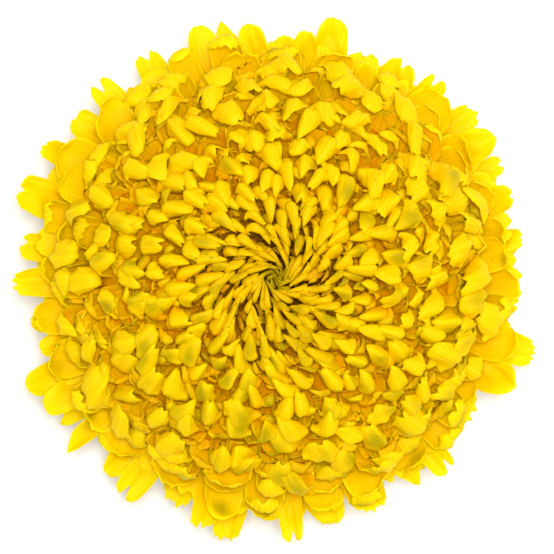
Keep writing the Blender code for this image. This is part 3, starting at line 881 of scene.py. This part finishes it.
def eyeSheets(count, reach, folded, width, turned, rows, columns):
    # every floret leans in from its root to its folded end, which stands just under the dome
    number = np.arange(count)
    share = (number + 0.5) / count
    strayed = spread(count, *eye["unevenOut"])
    out = np.maximum(reach[0] + (reach[1] - reach[0]) * np.sqrt(share) + strayed, 0.5)
    azimuth = number * goldenAngle + spread(count, *eye["unevenRound"])
    height = domeHeight(out) - eye["sink"] + spread(count, *eye["unevenHeight"])
    root = eye["rootShare"] * out
    rise = height - eye["rootHeight"]
    lean = np.degrees(np.arctan2(out - root, rise))
    hood = np.minimum(folded * spread(count, 0.7, 1.15), out + 1.2)
    length = np.hypot(out - root, rise) + 0.6 * hood + 1.0
    fold = 1 - hood / length
    last = turned + spread(count, -12, 12)
    keys = [(0.0, lean), (fold - 0.05, lean), (fold + 0.6 * hood / length, 0.8 * last), (1.0, last)]
    line = centreLines(length, keys)
    top = line["up"].max(1, keepdims=True)
    line["up"] = line["up"] * (rise[:, None] / top) + eye["rootHeight"]
    line["out"] += root[:, None]
    form = formOf(eye["form"], count)
    form["straight"], form["endFrom"] = fold * 0.9, fold
    form["sway"] += eye["swirl"] * np.minimum(out / 6, 1)
    widths = width * spread(count, 0.8, 1.2)
    sheet, t, v = floretSheets(line, azimuth, widths, ["point"] * count, form, rows, columns)
    blush = 0.5 * smooth((fold[:, None, None] + 0.1 - t) / 0.25)
    return sheet, t, v, depthBelow(sheet), spread(count, -1, 1), blush


young = petalFinish("youngOlive", {**petalLook, **eye["look"]}, 0.55)
youngParts = [eyeSheets(*group, 15, 9) for group in eye["groups"]]
floretPiece("youngFlorets", "young_florets", young, eye["thickness"], youngParts)


# the green cup: receptacle, bracts and stem

green = {
    "leaf": (0.13, 0.24, 0.035), "dark": (0.055, 0.12, 0.02), "papery": (0.42, 0.36, 0.16),
    "stemPale": (0.27, 0.38, 0.10), "stemDark": (0.15, 0.25, 0.06), "pith": (0.72, 0.74, 0.48),
    "bractThickness": 0.35,
    # count, root radius, root height, length, width, headings, turn in bracts
    "bracts": [
        (10, 5.0, 5.1, 9.4, 4.2, (86, 52), 0.0),
        (12, 7.2, 6.2, 8.6, 4.2, (80, 38), 0.5),
        (14, 9.2, 7.2, 7.4, 4.0, (70, 26), 0.3),
    ],
    "bractForm": {
        "straight": 0.2, "base": 0.75, "widestAt": 0.5, "end": 0.5, "endFrom": 0.2, "keel": -0.15,
        "crumple": 0.02, "cupRoot": 0.7, "cupTip": 0.6, "pleatTurns": 2, "dent": 0.02,
        "roll": (-5, 5), "sway": (-0.2, 0.2),
    },
    "cup": [(0, 17.9), (4, 17.4), (7.5, 15.6), (9.8, 12.6), (13.6, 12.1),
            (13.5, 11.3), (11.6, 8.5), (8.4, 6.2), (5, 5.2), (0, 5.1)],
    "stemRadius": 3.5, "stemTop": 4.7, "stemCut": 0.8, "stemRibs": 6, "stemRibDepth": 0.25,
    "hair": (0.62, 0.66, 0.44), "hairRadius": 0.04, "hairLength": (0.45, 0.95), "hairRoot": 0.1,
    "bractHairs": 1500, "stemHairs": 420,
}


def bractFinish():
    material, start, join = finish("bractGreen", {"Specular IOR Level": 0.3, "Sheen Weight": 0.2})
    along, across = fact(start, "along"), fact(start, "across")
    patches = speckle(start, 300.0, 3.0)
    edge = (across * across).between(0.45, 0.95)
    ribs = (across * 16.0).sine()
    colour = patches.between(0.3, 0.7).mix(green["dark"], green["leaf"])
    colour = (ribs.between(0.3, 1.0) * 0.35).mix(colour, green["stemPale"])
    colour = (edge * 0.85 + along.between(0.8, 1.0) * 0.3).between(0.2, 1.0).mix(colour, green["papery"])
    join("Base Color", colour)
    join("Roughness", patches * 0.3 + 0.45)
    join("Normal", relief(start, 0.5, 0.0003, ribs * 0.5 + patches))
    return material


def bractSheets(count, rootOut, rootUp, length, width, headings, turn, rows, columns):
    lengths = length * spread(count, 0.94, 1.06)
    first, last = headings[0] + spread(count, -3, 3), headings[1] + spread(count, -5, 5)
    line = centreLines(lengths, [(0.0, first), (1.0, last)])
    line["out"] += rootOut
    line["up"] += rootUp
    azimuth = 360 * (np.arange(count) + turn) / count + spread(count, -2, 2)
    form = formOf(green["bractForm"], count)
    sheet, t, v = floretSheets(line, azimuth, width, ["point"] * count, form, rows, columns)
    return sheet, t, v, 0 * t, spread(count, -1, 1), 0 * t


bractMaterial = bractFinish()
bractParts = [bractSheets(*row, 12, 9) for row in green["bracts"]]
floretPiece("involucreBracts", "involucre", bractMaterial, green["bractThickness"], bractParts)
turnedPiece("receptacleCup", "involucre", bractMaterial, 72, roundedProfile(green["cup"], 60))


hairMaterial = finish("hairPale", {"Roughness": 0.6, "Base Color": (*green["hair"], 1.0)})[0]


def hairPiece(name, node, roots, directions):
    # each hair is a closed three-sided spike: three points round its root and one at its tip
    count = len(roots)
    towards = unit(directions)
    first = unit(np.cross(towards, np.array([0.31, 0.52, 0.79])))
    second = np.cross(towards, first)
    turn = np.radians([0, 120, 240])[None, :, None]
    ring = first[:, None] * np.cos(turn) + second[:, None] * np.sin(turn)
    base = (roots - green["hairRoot"] * towards)[:, None] + green["hairRadius"] * ring
    tips = roots + towards * spread(count, *green["hairLength"])[:, None]
    points = np.concatenate([base, tips[:, None]], 1).reshape(-1, 3)
    spike = np.array([(0, 1, 3), (1, 2, 3), (2, 0, 3), (0, 2, 1)])
    faces = (spike[None] + 4 * np.arange(count)[:, None, None]).reshape(-1, 3)
    flatFaces = np.zeros(len(faces), bool)
    standIn(meshPiece(name, onAxis(points), faces, flatFaces, {}, hairMaterial), node)


# down on the bracts' outer sides, leaning to their tips
bractPoints = np.concatenate([part[0] for part in bractParts])
outwards = -normalsOf(bractPoints)
leaning = unit(np.gradient(bractPoints, axis=1))
chosen = draw.choice(bractPoints[..., 0].size, green["bractHairs"], replace=False)
hairRoots = (bractPoints + outwards * green["bractThickness"] / 2).reshape(-1, 3)[chosen]
hairDirections = (outwards + 0.9 * leaning).reshape(-1, 3)[chosen] + draw.normal(0, 0.25, (len(chosen), 3))
hairPiece("bractHairs", "involucre", hairRoots, hairDirections)


def stemFinish():
    material, start, join = finish("stemGreen", {"Specular IOR Level": 0.35})
    along, across = fact(start, "along"), fact(start, "across")
    patches = speckle(start, 260.0, 3.0)
    streaks = (across * 300.0).sine()
    colour = (streaks * 0.25 + patches).between(0.3, 0.9).mix(green["stemDark"], green["stemPale"])
    colour = along.between(0.74, 0.8).mix(colour, green["pith"])
    join("Base Color", colour)
    join("Roughness", patches * 0.3 + 0.4)
    join("Normal", relief(start, 0.4, 0.0002, streaks * 0.4 + patches))
    return material


stemTop, stemCut, stemRadius = green["stemTop"], green["stemCut"], green["stemRadius"]
stemCorners = [(0, stemTop), (stemRadius, stemTop), (stemRadius, 2.2), (stemRadius, stemCut), (0, stemCut)]
stemProfile = roundedProfile(stemCorners, 60)
turnedPiece("stemStub", "stem", stemFinish(), 84, stemProfile, green["stemRibs"], green["stemRibDepth"])

# down round the stem
hairTurn = spread(green["stemHairs"], 0, 2 * math.pi)
hairUp = spread(green["stemHairs"], stemCut + 0.5, stemTop - 0.3)
hairOut = stemRadius + green["stemRibDepth"] * np.cos(green["stemRibs"] * hairTurn) - 0.05
hairOutwards = np.stack([np.cos(hairTurn), np.sin(hairTurn), 0 * hairTurn], 1)
hairRoots = hairOutwards * hairOut[:, None] + upwards * hairUp[:, None]
hairDirections = hairOutwards + draw.normal(0, 0.3, hairOutwards.shape)
hairPiece("stemHairs", "stem", hairRoots, hairDirections)


# floor, light and camera

studio = {
    "floor": (0.96, 0.96, 0.95), "floorDark": (0.9, 0.9, 0.89), "floorSide": 3.0,
    "sky": 0.62,
    "key": 11.3, "keyFrom": (0.03, 0.06, 1.2), "keySize": 0.25,
    "fill": 3.6, "fillFrom": (1.0, 0.35, 0.8), "fillSize": 1.2,
    "cameraHeight": 1.0, "sensor": 36.0,
    "frameWidth": 138.5,  # what the picture spans at the height of the outline
    "frameLevel": 18.0,
    "look": (0.5, 1.25),  # the picture's middle
}

floorMaterial, start, join = finish("palePaper", {"Roughness": 0.9})
join("Base Color", (speckle(start, 30.0) * 0.04).mix(studio["floor"], studio["floorDark"]))
bpy.ops.mesh.primitive_plane_add(size=studio["floorSide"], location=(0, 0, 0))
floor = bpy.context.object
floor.name = "floor"
floor.data.materials.append(floorMaterial)

world = bpy.data.worlds.new("studio")
world.use_nodes = True
sky = world.node_tree.nodes["Background"]
sky.inputs["Color"].default_value = (1, 1, 1, 1)
sky.inputs["Strength"].default_value = studio["sky"]
bpy.context.scene.world = world


def softLight(name, place, power, size):
    lamp = bpy.data.lights.new(name, "AREA")
    lamp.energy, lamp.size = power, size
    made = bpy.data.objects.new(name, lamp)
    made.location = place
    made.rotation_euler = (-made.location).to_track_quat("-Z", "Y").to_euler()  # it looks at the origin
    bpy.context.scene.collection.objects.link(made)


softLight("keyLight", studio["keyFrom"], studio["key"], studio["keySize"])
softLight("fillLight", studio["fillFrom"], studio["fill"], studio["fillSize"])

lens = bpy.data.cameras.new("photoView")
lens.sensor_width = studio["sensor"]
distance = studio["cameraHeight"] - studio["frameLevel"] * mm
lens.lens = studio["sensor"] * distance / (studio["frameWidth"] * mm)
lens.clip_start = 0.05
lens.clip_end = 10.0
camera = bpy.data.objects.new("photoView", lens)
camera.location = (studio["look"][0] * mm, studio["look"][1] * mm, studio["cameraHeight"])
bpy.context.scene.collection.objects.link(camera)
bpy.context.scene.camera = camera
bpy.context.scene.view_settings.view_transform = "Standard"
print("studio set")
